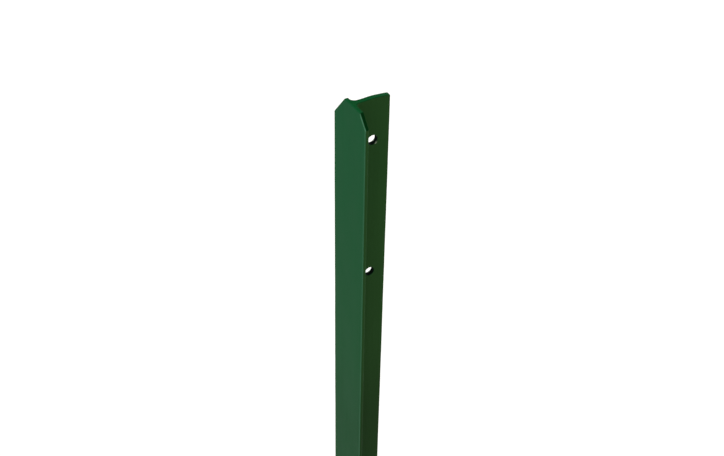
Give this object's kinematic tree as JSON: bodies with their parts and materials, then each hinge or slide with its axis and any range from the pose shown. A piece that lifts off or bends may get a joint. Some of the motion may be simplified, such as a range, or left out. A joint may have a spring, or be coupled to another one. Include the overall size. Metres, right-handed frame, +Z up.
{
  "type": "metal fence post",
  "caption": "Upright T-section steel fence post with a flat flange, a web behind it, sheared head corners and round wire holes, coated green.",
  "frame": {"origin": "centre of the outline of the foot, on the web's cut end, half way from the flange's face to the web's tip", "axes": "+Z up along the post, -Y out of the flange's flat face, +Y along the web to its tip, X across the flange"},
  "size_m": [0.03, 0.02, 1.25],
  "materials": {
    "green_coat": "satin green coat over steel"
  },
  "bodies": {
    "root": {"post": "green_coat"}
  },
  "joints": []
}
